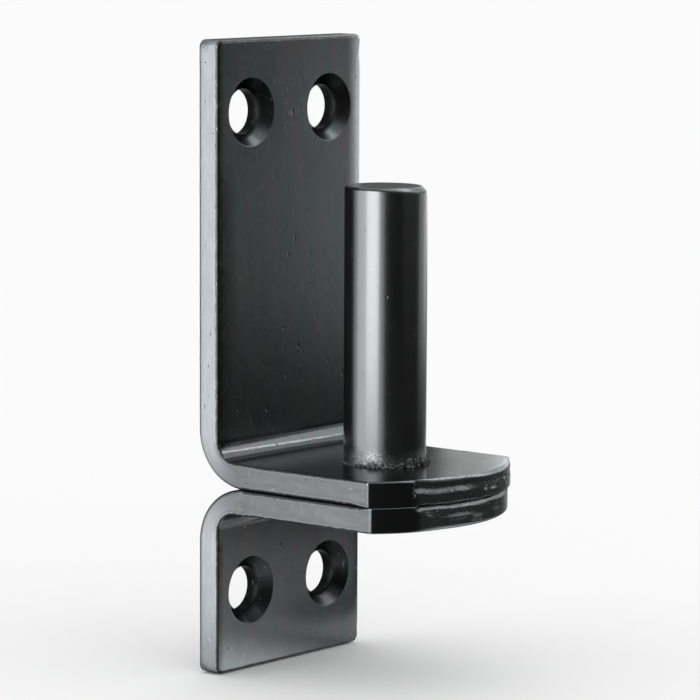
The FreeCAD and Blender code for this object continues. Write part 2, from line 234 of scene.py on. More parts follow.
class Tree:
    """A material's or world's node tree, emptied and ready to be filled."""

    def __init__(self, owner):
        owner.use_nodes = True
        self.nodes = owner.node_tree.nodes
        self.links = owner.node_tree.links
        self.nodes.clear()

    def value(self, socket):
        return Value(self, socket)

    def node(self, kind, settings=None, inputs=None):
        """One node: its settings first, then the values or links of its sockets."""
        made = self.nodes.new(kind)
        for name, setting in (settings or {}).items():
            setattr(made, name, setting)
        for key, given in (inputs or {}).items():
            if isinstance(given, Value):
                self.links.new(given.socket, made.inputs[key])
            else:
                made.inputs[key].default_value = given
        return made

    def attribute(self, name):
        """One number that the mesh keeps at each point."""
        made = self.node("ShaderNodeAttribute", {"attribute_name": name})
        return self.value(made.outputs["Fac"])

    def place(self, stretch=(1.0, 1.0, 1.0)):
        """The piece's own coordinates in millimetres, unrolled on a bar, each scaled."""
        source = self.node("ShaderNodeAttribute", {"attribute_name": "flat"})
        scaled = self.node("ShaderNodeVectorMath", {"operation": "MULTIPLY"},
                           {0: self.value(source.outputs["Vector"]), 1: stretch})
        return self.value(scaled.outputs[0])

    def world_place(self):
        """Where a point stands in the frame, in metres."""
        spot = self.node("ShaderNodeNewGeometry")
        return self.value(spot.outputs["Position"])

    def axis(self, vector, name):
        """One of a vector's numbers, by its axis."""
        parts = self.node("ShaderNodeSeparateXYZ", {}, {0: vector})
        return self.value(parts.outputs[name])

    def speckle(self, place, scale, detail=2.0, rough=0.5, offset=0.0):
        """Noise about 0.5 at a place."""
        shifted = self.node("ShaderNodeVectorMath", {"operation": "ADD"},
                            {0: place, 1: (offset, offset, offset)})
        made = self.node("ShaderNodeTexNoise", {"noise_dimensions": "3D"},
                         {"Vector": self.value(shifted.outputs[0]), "Scale": scale,
                          "Detail": detail, "Roughness": rough})
        return self.value(made.outputs["Fac"])

    def cells(self, place, scale):
        """Distance to the nearest of scattered points."""
        made = self.node("ShaderNodeTexVoronoi", {"feature": "F1"},
                         {"Vector": place, "Scale": scale})
        return self.value(made.outputs["Distance"])

    def spots(self, place, scale, low, high):
        """1 at scattered points and 0 between them."""
        return 1.0 - self.step(self.cells(place, scale), low, high)

    def step(self, value, low, high):
        """0 below low, 1 above high, smooth between."""
        made = self.node("ShaderNodeMapRange", {"interpolation_type": "SMOOTHSTEP"},
                         {"Value": value, "From Min": low, "From Max": high,
                          "To Min": 0.0, "To Max": 1.0})
        return self.value(made.outputs["Result"])

    def band(self, value, rise, fall):
        """1 between a rise and a fall, each given as (start, stop), and 0 outside them."""
        return self.step(value, *rise) * (1.0 - self.step(value, *fall))

    def blend(self, factor, first, second):
        """Two colours mixed by a factor."""
        made = self.node("ShaderNodeMix", {"data_type": "RGBA"},
                         {0: factor, 6: colour_of(first), 7: colour_of(second)})
        return self.value(made.outputs[2])

    def paint(self, base, coats):
        """A colour with others laid over it in turn, as (factor, colour) pairs."""
        for factor, colour in coats:
            base = self.blend(factor, base, colour)
        return base

    def bump(self, height):
        """A normal from a height in millimetres."""
        made = self.node("ShaderNodeBump", {}, {"Height": height, "Distance": MM})
        return self.value(made.outputs["Normal"])


def colour_of(given):
    """A colour as four numbers, or a link as it is."""
    if isinstance(given, Value):
        return given
    return (*given[:3], 1.0)


def scaled_colour(colour, factor):
    """A colour made lighter or darker by a factor."""
    return tuple(channel * factor for channel in colour[:3])


def finish_material(name, fill):
    """A material whose tree is filled by a function that returns the shader's inputs."""
    material = bpy.data.materials.new(name)
    tree = Tree(material)
    shader = tree.node("ShaderNodeBsdfPrincipled", {}, fill(tree))
    tree.node("ShaderNodeOutputMaterial", {}, {"Surface": tree.value(shader.outputs["BSDF"])})
    return material


def plate_steel():
    """Blackened flat bar: rolled faces, scuffed sides and torn noses, with painted shade along
    some arrises, margins and in the holes, and painted highlights along some edges.
    """
    finish = bpy.context.scene.pintle_finish
    edge = finish.edge_tint
    thick = THICKNESS / MM
    arc = bend_length(bpy.context.scene.pintle_sizes) / MM

    def shade(factor):
        return scaled_colour(finish.plate_tint, factor)

    def hued(factors):
        return tuple(c * f for c, f in zip(finish.plate_tint, factors))

    def fill(tree):
        place = tree.place()
        arris, rim, scuffed, nose, torn, flank, leg_flank, painted_hole_shade = (
            tree.attribute(name) for name in BAR_MARKS)
        side = tree.attribute("side")
        along = tree.axis(place, "Y")
        through = tree.axis(place, "Z")

        # Where on the bar a point lies.
        front = tree.step(through, thick - 0.15, thick - 0.02)
        bend_start = (0.17 * arc, 0.20 * arc)
        bend = tree.band(along, bend_start, (0.72 * arc, 0.95 * arc))
        inner = tree.band(along, bend_start, (0.50 * arc, 0.75 * arc)) * front
        # A lighter base colour on the inner face where the bend runs into the tongue.
        lighter_inner_bend_end = tree.band(along, (0.6 * arc, 0.9 * arc), (0.9 * arc, arc + 14.0)) * front
        leg_face = (tree.step(through, thick - 0.3, thick - 0.1)
                    * (1.0 - tree.step(along, -1.0, 1.0)))
        # Painted shade along the leg face's left margin, and a painted highlight along its right
        # margin.
        shaded = tree.step(side, 0.90, 0.98) * leg_face
        bright = tree.step(0.0 - side, 0.80, 1.0) * leg_face
        contour = flank * bend * tree.band(through, (thick - 0.95, thick - 0.8),
                                           (thick - 0.75, thick - 0.6))

        # Clouds, grain, pits and scratches.
        cloud = tree.speckle(place, 0.09, 3.0, 0.6)
        grain = tree.speckle(place, 1.6, 4.0, 0.6, 7.0)
        drift = tree.step(tree.speckle(tree.place((0.35, 0.05, 0.35)), 1.0, 3.0, 0.6, 13.0),
                          0.35, 0.65)
        streaks = tree.speckle(tree.place((1.0, 0.10, 0.9)), 1.0, 4.0, 0.6, 3.0)
        mottle = tree.speckle(tree.place((1.0, 0.35, 0.8)), 1.0, 4.0, 0.65, 83.0)
        marks = tree.step(tree.speckle(tree.place((1.0, 0.9, 0.15)), 1.0, 2.0, 0.5, 29.0),
                          0.66, 0.74)
        pits = tree.spots(place, 0.50, 0.03, 0.085)
        pits = pits * tree.step(tree.speckle(place, 0.25, 2.0, 0.5, 61.0), 0.44, 0.54)
        bumps = tree.spots(tree.place((1.0, 0.55, 1.0)), 0.38, 0.02, 0.13)
        bumps = bumps * (tree.speckle(place, 0.3, 2.0, 0.5, 63.0) - 0.38) * 4.0
        fine_pits = tree.spots(tree.place((1.0, 0.8, 1.0)), 1.7, 0.04, 0.12)
        scratches = tree.step(tree.speckle(tree.place((0.9, 0.10, 0.9)), 3.5, 2.0, 0.5, 11.0),
                              0.69, 0.73)
        dashes = tree.speckle(tree.place((1.0, 0.22, 1.0)), 2.0, 3.0, 0.6, 47.0)
        light_dash = tree.step(dashes, 0.60, 0.70)
        dark_dash = 1.0 - tree.step(dashes, 0.30, 0.40)
        # Painted shade: the sides darken towards the bar's back arris.
        painted_flank_edge_shade = flank * (1.0 - tree.step(through, 0.0, 1.1 + 0.5 * (mottle - 0.5)))
        corner = (flank * scuffed * (1.0 - tree.step(through, 1.2, 2.6))
                  * tree.step(tree.speckle(place, 4.5, 2.0, 0.6, 71.0), 0.40, 0.52))
        crumbs = tree.step(tree.speckle(place, 4.0, 2.0, 0.6, 89.0), 0.40, 0.60)
        flank_tone = tree.step(0.5 * streaks + 0.5 * mottle, 0.36, 0.64)

        base = tree.paint(tree.blend(drift, hued((0.86, 1.02, 0.99)), hued((1.08, 1.02, 1.04))), (
            (cloud * 0.5, shade(0.75)),
            # Painted shade on the leg face's left margin.
            (shaded * 0.7, shade(0.3)),
            # Painted highlight on the leg face's right margin.
            (bright * 0.9, shade(4.2)),
            (lighter_inner_bend_end * 0.5, shade(4.0)),
            (light_dash * 0.30, shade(1.6)),
            (dark_dash * 0.30, shade(0.5)),
            (flank, tree.blend(flank_tone, shade(0.66), shade(0.81))),
            (leg_flank * (0.9 + 0.4 * (mottle - 0.5)), edge),
            (flank * marks * 0.08, scaled_colour(edge, 1.1)),
            # Painted shade at the sides' back edge.
            (painted_flank_edge_shade * 0.70 + contour * 0.4, shade(0.35)),
            (corner * 0.9, shade(0.2)),
            (nose * 0.9, shade(0.5)),
            (torn * 0.8, shade(1.3)),
            # Painted highlight along the leg end's and the noses' front edges.
            (rim * (0.30 + 0.55 * crumbs), scaled_colour(edge, 1.2)),
            # Painted shade inside the screw holes.
            (painted_hole_shade, shade(0.04)),
            # Painted shade along the arrises that the marks set dark.
            (arris * tree.step(grain, 0.30, 0.42) * 0.85, shade(0.2)),
            (scratches * 0.35, shade(1.9)),
            (pits * 0.8, shade(0.25)),
        ))
        rough = (finish.gloss + 0.06 * (cloud - 0.5) + 0.08 * (grain - 0.5) + flank * 0.10
                 + torn * 0.05 + pits * 0.15 + painted_hole_shade * 0.14 + arris * 0.12 - inner * 0.10)
        skin = tree.speckle(place, 3.2, 3.0, 0.55, 19.0) * (1.0 - 0.8 * nose)
        swell = tree.speckle(place, 0.16, 2.0, 0.5, 23.0)
        height = (skin * 0.0024 + swell * 0.020 - pits * 0.045 + bumps * 0.055
                  - fine_pits * 0.005 + flank * (mottle * 0.030 + marks * 0.003)
                  + torn * grain * 0.030 + painted_hole_shade * (grain * 0.015 + cloud * 0.10)
                  + (light_dash - dark_dash) * 0.004 + scratches * 0.003)
        return {"Base Color": base, "Metallic": 1.0, "Roughness": rough,
                "Normal": tree.bump(height), "Specular Tint": (0.6, 0.6, 0.6, 1.0)}

    return finish_material("blackened_plate", fill)


def pin_steel():
    """Blackened round bar: faint drawing marks, a dull top, a painted shade line under its
    chamfer, and a foot roughened by welding.
    """
    finish = bpy.context.scene.pintle_finish
    weld_top = WELD_HIGH.z / MM

    def shade(factor):
        return scaled_colour(finish.pin_tint, factor)

    def fill(tree):
        place = tree.place()
        level = tree.axis(place, "Z")
        cut = tree.attribute("cut")
        painted_shade_and_glint = tree.attribute("painted_shade_and_glint")
        cloud = tree.speckle(place, 0.12, 3.0, 0.6, 31.0)
        grain = tree.speckle(place, 1.8, 4.0, 0.6, 37.0)
        drawn = tree.speckle(tree.place((4.0, 4.0, 0.10)), 1.0, 2.0, 0.5, 41.0)
        pits = tree.spots(place, 0.42, 0.04, 0.10)
        foot = 1.0 - tree.step(level + 3.0 * (grain - 0.5), weld_top - 0.5, weld_top + 1.4)
        crumbs = tree.step(tree.speckle(place, 3.0, 2.0, 0.6, 97.0), 0.50, 0.62)
        base = tree.paint(tree.blend(cloud, shade(0.9), shade(1.1)), (
            (cut * 0.95, shade(0.30)),
            # Painted shade along the chamfer's lower edge.
            (painted_shade_and_glint * 0.85, shade(0.15)),
            (pits * 0.7, shade(0.3)),
            (foot * crumbs * 0.5, shade(3.0)),
        ))
        rough = (finish.gloss + 0.02 + 0.06 * (cloud - 0.5) + 0.09 * (grain - 0.5) + cut * 0.06
                 + foot * 0.12)
        height = (tree.speckle(place, 3.0, 3.0, 0.55, 43.0) * 0.003 + drawn * 0.002
                  - pits * 0.035 + cut * grain * 0.012 + foot * grain * 0.05)
        return {"Base Color": base, "Metallic": 1.0 - 0.3 * cut, "Roughness": rough,
                "Normal": tree.bump(height)}

    return finish_material("blackened_pin", fill)


def weld_metal():
    """Blackened weld: dark and crumbly, with painted glints at its high points."""
    finish = bpy.context.scene.pintle_finish

    def shade(factor):
        return scaled_colour(finish.weld_tint, factor)

    def fill(tree):
        place = tree.place()
        high = tree.attribute("painted_shade_and_glint")
        grain = tree.step(tree.speckle(place, 3.2, 4.0, 0.7, 53.0), 0.35, 0.65)
        crumbs = tree.cells(place, 1.9)
        # Painted glints: the high points get a whitish base colour.
        base = tree.blend(high * 0.8, tree.blend(grain, shade(0.5), shade(2.4)), shade(4.0))
        rough = finish.gloss + 0.12 + 0.3 * (grain - 0.5)
        return {"Base Color": base, "Metallic": 1.0, "Roughness": rough,
                "Normal": tree.bump(grain * 0.16 - crumbs * 0.10)}

    return finish_material("blackened_weld", fill)


def smooth_shade(mesh):
    """Shade smooth, with each point's normal led by the largest faces round it.

    The flat faces stay flat so, and the roundings between them carry the whole turn.
    """
    normals = [Vector() for _ in mesh.vertices]
    for face in mesh.polygons:
        for index in face.vertices:
            normals[index] += face.normal * face.area
    mesh.polygons.foreach_set("use_smooth", [True] * len(mesh.polygons))
    mesh.normals_split_custom_set_from_vertices([n.normalized() for n in normals])


def write_attributes(mesh, layers):
    """Keep per-point numbers and vectors for the materials."""
    for name, numbers in layers.items():
        vector = isinstance(numbers[0], (tuple, list, Vector))
        kind = "FLOAT_VECTOR" if vector else "FLOAT"
        layer = mesh.attributes.new(name, kind, "POINT")
        flat = [c for entry in numbers for c in entry] if vector else list(numbers)
        layer.data.foreach_set("vector" if vector else "value", flat)


def link(name, data):
    """A new object of the scene that shows some data."""
    made = bpy.data.objects.new(name, data)
    bpy.context.scene.collection.objects.link(made)
    return made


def add_piece(name, mesh, material, node):
    """Link a finished mesh as the visible form of one construction node."""
    mesh.materials.append(material)
    piece = link(name, mesh)
    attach(piece, BODY)
    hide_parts(node)


def closed_mesh(name, bm):
    """The mesh of a closed body, its faces turned outward."""
    bmesh.ops.recalc_face_normals(bm, faces=bm.faces)
    mesh = bpy.data.meshes.new(name)
    bm.to_mesh(mesh)
    bm.free()
    return mesh


def set_round_pin(mesh, level):
    """Move a body turned about the Z axis to the pin, its own coordinates kept for its look."""
    flat = [tuple(v.co / MM) for v in mesh.vertices]
    mesh.transform(Matrix.Translation((0.0, PIN_Y, level)))
    write_attributes(mesh, {"flat": flat})
    smooth_shade(mesh)


def bridge(bm, low, high):
    """Faces between two rings of as many points, or between a ring and a lone point."""
    count = max(len(low), len(high))
    for i in range(count):
        j = (i + 1) % count
        corners = (low[i % len(low)], low[j % len(low)],
                   high[j % len(high)], high[i % len(high)])
        bm.faces.new(tuple(dict.fromkeys(corners)))


def ripple(*place):
    """Smooth noise about 0 at a place given as three numbers."""
    return noise.noise(Vector(place))


def smoothstep(value, low, high):
    """0 below low, 1 above high, smooth between."""
    share = min(1.0, max(0.0, (value - low) / (high - low)))
    return share * share * (3.0 - 2.0 * share)


def ramp(value, low, high):
    """0 below low, 1 above high, straight between but for softened ends."""
    share = min(1.0, max(0.0, (value - low) / (high - low)))
    return 0.75 * share + 0.25 * smoothstep(share, 0.0, 1.0)


def bend_length(sizes):
    """Length of a bend along the middle of the flat bar."""
    straight = sizes.bend_outside - sizes.bend_inside - THICKNESS
    inner = 2 * straight + sizes.bend_inside * math.pi / 2
    return (sizes.bend_outside * math.pi / 2 + inner) / 2


class BentBar:
    """One bent flat bar, drawn flat and then folded.

    Flat coordinates: x across, s along from the leg's end to the nose, w through the bar
    from its back (the outside of the bend) to its front (the inside of the bend).
    """

    NOSE_STEPS = 340
    SIDE_STEPS = 220
    END_STEPS = 36
    CORNER_STEPS = 8
    WALL_ROWS = 26
    ARC_ROWS = 6
    BEND_CUTS = 30
    RISE_CUTS = 12
    HOLE_STEPS = 96
    # Places along a nose run from its left end, and places through the bar from its back,
    # both from 0 to 1. The tear begins at its start, and the upper ledge at its level.
    TEAR_START = 0.178
    LEDGE_LEVEL = 0.42
    LEDGE_BREADTH = 0.22
    # Hollows: the middle and breadth along, the middle and breadth through, and the depth.
    UPPER_CHIP = ((0.182, 0.006, 0.42, 0.10, 0.5),)
    UPPER_DENTS = ((0.56, 0.012, 0.42, 0.06, 0.5), (0.62, 0.020, 0.38, 0.05, 0.5),
                   (0.74, 0.012, 0.60, 0.06, 0.5), (0.82, 0.014, 0.50, 0.05, 0.5))
    LOWER_DENTS = ((0.230, 0.030, 0.42, 0.14, 0.6), (0.40, 0.060, 0.55, 0.10, 0.4),
                   (0.50, 0.040, 0.70, 0.10, 0.3), (0.66, 0.030, 0.45, 0.12, 0.2))

    def __init__(self, leg, row, skew, upper):
        sizes = bpy.context.scene.pintle_sizes
        self.sizes = sizes
        self.leg = leg
        self.row = row
        self.upper = upper
        self.inside = sizes.bend_inside
        self.outside = sizes.bend_outside
        self.corner = THICKNESS + self.inside
        self.bend_start = leg - self.outside
        self.bend_end = self.bend_start + bend_length(sizes)
        self.skew = skew
        slack = 0.02 * MM
        self.side_end = self.bend_end + sizes.tongue_side - slack - self.outside
        self.rise = REACH - sizes.tongue_side
        self.nose_radius = (HALF_WIDTH ** 2 + self.rise ** 2) / (2 * self.rise)
        self.seed = 3.0 if upper else 17.0

    def fold(self, x, s, w):
        """Flat coordinates to the standing bar: back on y = 0, tongue's outer face on z = 0."""
        if s < self.bend_start:
            return Vector((x, -w, self.leg - s))
        if s > self.bend_end:
            beyond = s - self.bend_end
            lift = self.rise_left(self.outside - self.corner + beyond) * w / THICKNESS
            return Vector((x, -self.outside - beyond, w + lift))
        turn = math.pi / 2 * (s - self.bend_start) / (self.bend_end - self.bend_start)
        outer = Vector((-self.outside + self.outside * math.cos(turn),
                        self.outside - self.outside * math.sin(turn)))
        place = outer.lerp(self.inner_side(turn), w / THICKNESS)
        return Vector((x, place.x, place.y))

    def inner_side(self, turn):
        """The inside of the bend as (y, z): straight, a tighter pressed-in arc, straight."""
        straight = self.outside - self.corner
        arc = self.inside * math.pi / 2
        run = (2 * straight + arc) * turn / (math.pi / 2)
        if run < straight:
            return Vector((-THICKNESS, self.outside - run))
        if run > straight + arc:
            beyond = run - straight - arc
            return Vector((-self.corner - beyond, THICKNESS + self.rise_left(beyond)))
        lean = (run - straight) / self.inside
        share = 2 * lean / math.pi
        press = math.sin(2 * lean) * (1.0 - share)
        join = 2 * arc / self.sizes.rise_length
        rise = share * share * (3.0 - 2.0 * share + join * (1.0 - share))
        arm = self.inside - self.sizes.bend_press * press - self.sizes.bend_rise * rise
        return Vector((-self.corner + arm * math.cos(lean), self.corner - arm * math.sin(lean)))

    def rise_left(self, beyond):
        """Height of the tongue's inner face over its level, a way beyond the bend."""
        share = min(1.0, beyond / self.sizes.rise_length)
        return self.sizes.bend_rise * (1.0 - share) ** 2

    def outline(self):
        """Points round the flat bar as (x, s, outward x, outward s, zone, share along zone)."""
        half = HALF_WIDTH
        corner = self.sizes.corner_radius
        tip = self.sizes.nose_corner
        centre = self.side_end + self.rise - self.nose_radius
        inner = self.nose_radius - tip
        tip_x = half - tip
        tip_s = centre + math.sqrt(inner ** 2 - tip_x ** 2)
        right_end = tip_s + self.skew * tip_x
        left_end = tip_s - self.skew * tip_x
        reach_angle = math.degrees(math.asin(tip_x / inner))
        points = []
        for i in range(self.END_STEPS):
            x = -half + corner + (2 * (half - corner)) * i / self.END_STEPS
            points.append((x, 0.0, 0.0, -1.0, "end", i / self.END_STEPS))
        points += self.corner_points(half - corner, corner, corner, -90.0, 0.0, "corner")
        points += self.side_points(half, corner, right_end, "right")
        points += self.corner_points(tip_x, right_end, tip, 0.0, 90.0 - reach_angle, "tip")
        for i in range(self.NOSE_STEPS):
            share = i / self.NOSE_STEPS
            turn = math.radians(reach_angle * (1.0 - 2.0 * share))
            x = self.nose_radius * math.sin(turn)
            lean = self.skew * max(-tip_x, min(tip_x, x))
            points.append((x, centre + self.nose_radius * math.cos(turn) + lean,
                           math.sin(turn), math.cos(turn), "nose", share))
        points += self.corner_points(-tip_x, left_end, tip, 90.0 + reach_angle, 180.0, "tip")
        points += self.side_points(-half, left_end, corner, "left")
        points += self.corner_points(-half + corner, corner, corner, 180.0, 270.0, "corner")
        return points

    def side_points(self, x, start, stop, zone):
        """One straight side of the outline, its share counted from the leg's end."""
        points = []
        for i in range(self.SIDE_STEPS):
            part = i / self.SIDE_STEPS
            share = part if stop > start else 1.0 - part
            points.append((x, start + (stop - start) * part, math.copysign(1.0, x), 0.0,
                           zone, share))
        return points

    def corner_points(self, x, s, radius, start, stop, zone):
        """An arc of the outline, turning from the start to the stop angle."""
        points = []
        for i in range(self.CORNER_STEPS):
            share = i / self.CORNER_STEPS
            turn = math.radians(start + (stop - start) * share)
            points.append((x + radius * math.cos(turn), s + radius * math.sin(turn),
                           math.cos(turn), math.sin(turn), zone, share))
        return points

    def edge_radii(self, zone, share, x, s):
        """Back rounding, front rounding's depth and its reach over the face, at one place."""
        sizes = self.sizes
        arris = sizes.arris
        wave = ripple(s * 450.0, self.seed, x * 450.0)
        nick = ripple(s * 1300.0, self.seed + 9.0, x * 1300.0)
        back = arris * (1.1 + 0.4 * sizes.unevenness * (wave + 0.6 * nick))
        front = reach = arris * (1.0 + sizes.unevenness * (0.6 * wave - 0.9 * nick))
        if zone == "end":
            front = reach = front * (1.6 if self.upper else 1.1)
        if zone == "tip":
            back = arris * 0.5
            front = reach = arris
        if zone == "nose":
            along = self.from_left(share)
            rise = smoothstep(along, 0.10, 0.35) * (1.0 - smoothstep(along, 0.94, 1.0))
            torn = smoothstep(along, 0.18, 0.23)
            back = arris * (0.5 + torn * ((0.4 if self.upper else 0.6) + 0.4 * wave
                                          - 0.3 * nick))
            front = arris + (sizes.rollover_depth - arris) * rise
            reach = arris + (sizes.rollover_reach - arris) * rise
        if zone in ("left", "right"):
            back *= 1.0 + 0.4 * smoothstep(s, self.bend_start, self.bend_end)
            back += (arris * 0.5 - back) * smoothstep(share, 0.96, 1.0)
        if zone == ("right" if self.upper else "left"):
            rise = smoothstep(share, 0.0, 0.05) * (1.0 - smoothstep(share, 0.5, 0.62))
            front += (sizes.crown_depth - front) * rise
            reach += (sizes.crown_reach - reach) * rise
        return back, front, reach

    def tear(self, share, depth):
        """How far the cropped nose is torn in, for a place along it and through the bar.

        share is 0 at the bar's right end of the nose and 1 at its left end; depth is 0 at
        the back. The tears run on the same side of both bars once the lower one is turned.
        """
        along = self.from_left(share)
        full = self.sizes.tear_depth
        seed = self.seed
        jag = ripple(depth * 4.0, seed, 2.0) + 0.5 * ripple(depth * 14.0, seed, 7.0)
        start = self.TEAR_START + 0.012 * jag
        blend = 0.010
        if not self.upper:
            start += 0.10 * smoothstep(depth, 0.12, 0.60)
            blend = 0.030
        torn = smoothstep(along, start, start + blend)
        shift = (0.05 * ripple(along * 9.0, seed, 0.0) + 0.025 * ripple(along * 34.0, seed, 4.0)
                 + 0.015 * ripple(along * 120.0, seed, 9.0))
        chip = 0.0
        if self.upper:
            ledge = self.LEDGE_LEVEL + shift + 0.08 * (1.0 - smoothstep(along, 0.18, 0.26))
            fade = 1.0 - 0.9 * smoothstep(along, 0.42, 0.54)
            fold = fade * ramp(depth, ledge, ledge + self.LEDGE_BREADTH)
            fold += self.dents(along, depth, self.UPPER_DENTS)
            chip = self.dents(along, depth, self.UPPER_CHIP)
        else:
            fade = 1.0 - 0.4 * smoothstep(along, 0.40, 0.60)
            fold = fade * (1.0 - ramp(depth, 0.03 + shift, 0.18 + shift))
            fold += self.dents(along, depth, self.LOWER_DENTS)
        fold += (0.05 * ripple(along * 20.0, depth * 2.0, seed + 5.0)
                 + 0.045 * ripple(along * 90.0, depth * 8.0, seed) + 0.08)
        return full * (max(0.0, torn * fold) + chip)

    def dents(self, along, depth, table):
        """How deep the hollows of a table are at one place."""
        total = 0.0
        for middle, wide, level, high, deep in table:
            total += deep * math.exp(-((along - middle) / wide) ** 2
                                     - ((depth - level) / high) ** 2)
        return total

    def from_left(self, share):
        """Place along the nose, 0 at the end that stands on the -X side."""
        return 1.0 - share if self.upper else share

    def rings(self):
        """Levels through the bar: each row's kind and its share of that rounding or wall."""
        arc = [i / self.ARC_ROWS for i in range(self.ARC_ROWS + 1)]
        wall = [i / self.WALL_ROWS for i in range(1, self.WALL_ROWS)]
        return ([("back", share) for share in arc] + [("wall", share) for share in wall]
                + [("front", share) for share in arc])

    def section_point(self, kind, share, radii):
        """How far in from the outline and how high through the bar a row stands."""
        back, front, reach = radii
        turn = share * math.pi / 2
        if kind == "back":
            return back * (1.0 - math.sin(turn)), back * (1.0 - math.cos(turn))
        if kind == "front":
            return (reach * (1.0 - math.cos(turn)),
                    THICKNESS - front * (1.0 - math.sin(turn)))
        return 0.0, back + (THICKNESS - back - front) * share

    def torn_in(self, kind, along, inset, w, radii):
        """How far a nose's point is torn in, less on the roundings than on the wall."""
        back, _, reach = radii
        pull = self.tear(along, w / THICKNESS) * smoothstep(min(along, 1.0 - along), 0.0, 0.01)
        if kind == "wall":
            return pull
        return pull * max(0.0, 1.0 - inset / (back if kind == "back" else reach))

    def marks(self, kind, share, zone, along, s, aside):
        """What the material shows at one point of a row, in the order of BAR_MARKS."""
        from_left = self.from_left(along)
        on_nose = zone == "nose"
        torn = smoothstep(from_left, 0.18, 0.21) if on_nose else 0.0
        rounding = kind != "wall" and 0.0 < share < 1.0
        leg_end = self.upper and zone == "end" and kind == "front"
        # Painted shade along one side's arrises: full on the front and on the tongue's back arris
        # by the gap between the bars, weaker on the leg's back.
        dark = 0.0
        if rounding and zone == ("left" if self.upper else "right"):
            dark = 1.0 if kind == "front" or s > self.bend_end else 0.35
        # Painted shade along the torn nose's back edge.
        if on_nose and kind == "back" and share < 0.7:
            dark = torn
        # Painted shade on the face side of the leg end's front arris and round the leg's corners.
        if (leg_end and 0.55 < share < 1.0) or (zone == "corner" and rounding):
            dark = 0.8
        # Painted highlight along the leg end's front arris, stronger towards +X, and along the
        # noses' front edge.
        rim = 0.0
        if leg_end and share < 0.55:
            rim = 0.15 + 0.85 * smoothstep(along, 0.2, 1.0)
        if on_nose and kind == "front" and 0.1 < share < 0.9:
            rim = smoothstep(from_left, 0.10, 0.35)
            rim *= 1.0 - 0.5 * smoothstep(from_left, 0.75, 1.0)
        scuffed = 1.0 - smoothstep(s, 0.2 * MM, 2.4 * MM)
        outer = kind == "wall" or (kind == "back") == (share > 0.5)
        flank = 0.0
        if kind == "wall" and zone in ("left", "right", "corner"):
            flank = smoothstep(aside, 0.3, 1.0)
        leg_flank = flank * (1.0 - smoothstep(s, self.bend_start, self.bend_end))
        return (dark, rim, scuffed, float(on_nose and outer), torn if outer else 0.0,
                flank, leg_flank, 0.0)

    def build(self):
        """The closed flat bar with its holes, cut across the bend."""
        bm = bmesh.new()
        layers = [bm.verts.layers.float.new(name) for name in BAR_MARKS]
        outline = self.outline()
        loops = []
        for kind, share in self.rings():
            loop = []
            for x, s, nx, ns, zone, along in outline:
                radii = self.edge_radii(zone, along, x, s)
                inset, w = self.section_point(kind, share, radii)
                if zone == "nose":
                    inset += self.torn_in(kind, along, inset, w, radii)
                vert = bm.verts.new((x - nx * inset, s - ns * inset, w))
                marks = self.marks(kind, share, zone, along, s, abs(nx))
                for layer, mark in zip(layers, marks):
                    vert[layer] = mark
                loop.append(vert)
            loops.append(loop)
        for low, high in zip(loops[:-1], loops[1:]):
            bridge(bm, low, high)
        back_rims, front_rims = self.hole_walls(bm, layers[BAR_MARKS.index("painted_hole_shade")])
        self.fill_face(bm, loops[0], back_rims, False)
        self.fill_face(bm, loops[-1], front_rims, True)
        self.cut_bend(bm)
        return bm

    def hole_walls(self, bm, painted_hole_shade):
        """Bore and countersink of both screw holes, from the back rim to the front rim, with
        painted shade inside them.
        """
        rim = self.sizes.sink_radius
        sink = rim - HOLE_RADIUS
        soft = 0.12 * MM
        seat = THICKNESS - sink
        # Each point is (radius beyond the bore's, height through the bar).
        profile = [(soft, 0.0), (soft * 0.3, soft * 0.3), (0.0, soft), (0.0, THICKNESS * 0.3),
                   (0.0, seat - soft), (soft * 0.4, seat + soft * 0.4),
                   (sink * 0.3, THICKNESS - sink * 0.7), (sink * 0.65, THICKNESS - sink * 0.35),
                   (sink - soft, THICKNESS - soft), (sink - soft * 0.35, THICKNESS - soft * 0.3),
                   (sink + soft * 0.5, THICKNESS)]
        hand = 1.0 if self.upper else -1.0
        back_rims = []
        front_rims = []
        for side in (-1, 1):
            loops = []
            for wider, w in profile:
                radius = HOLE_RADIUS + wider
                bore = 1.0 - smoothstep(w, seat - soft, THICKNESS - 0.6 * sink)
                seam = abs(w - seat) < 2 * soft
                inside = w > 0.0 and wider < sink
                loop = []
                for i in range(self.HOLE_STEPS):
                    turn = 2 * math.pi * i / self.HOLE_STEPS
                    vert = bm.verts.new((side * HOLE_SPACING / 2 + radius * math.cos(turn),
                                         self.row + radius * math.sin(turn), w))
                    # Painted highlight: the hole's shade is lifted on the countersink's lower
                    # side, and a little along the seam on one side.
                    pale = 0.6 * smoothstep(hand * math.sin(turn), 0.45, 0.95) * (1.0 - bore)
                    if seam:
                        pale += 0.12 * smoothstep(hand * math.cos(turn), 0.5, 0.95)
                    # Painted shade inside the bore and countersink, darkest in the bore.
                    vert[painted_hole_shade] = 0.87 + 0.13 * bore - pale if inside else 0.0
                    loop.append(vert)
                loops.append(loop)
            for low, high in zip(loops[:-1], loops[1:]):
                bridge(bm, low, high)
            back_rims.append(loops[0])
            front_rims.append(loops[-1])
        return back_rims, front_rims

    def fill_face(self, bm, loop, rims, front):
        """One flat face of the bar, with its holes left open."""
        edges = []
        for ring in [loop] + rims:
            for i, vert in enumerate(ring):
                edges.append(bm.edges.get((vert, ring[(i + 1) % len(ring)])))
        bmesh.ops.triangle_fill(bm, use_beauty=True, use_dissolve=False, edges=edges,
                                normal=(0.0, 0.0, 1.0 if front else -1.0))

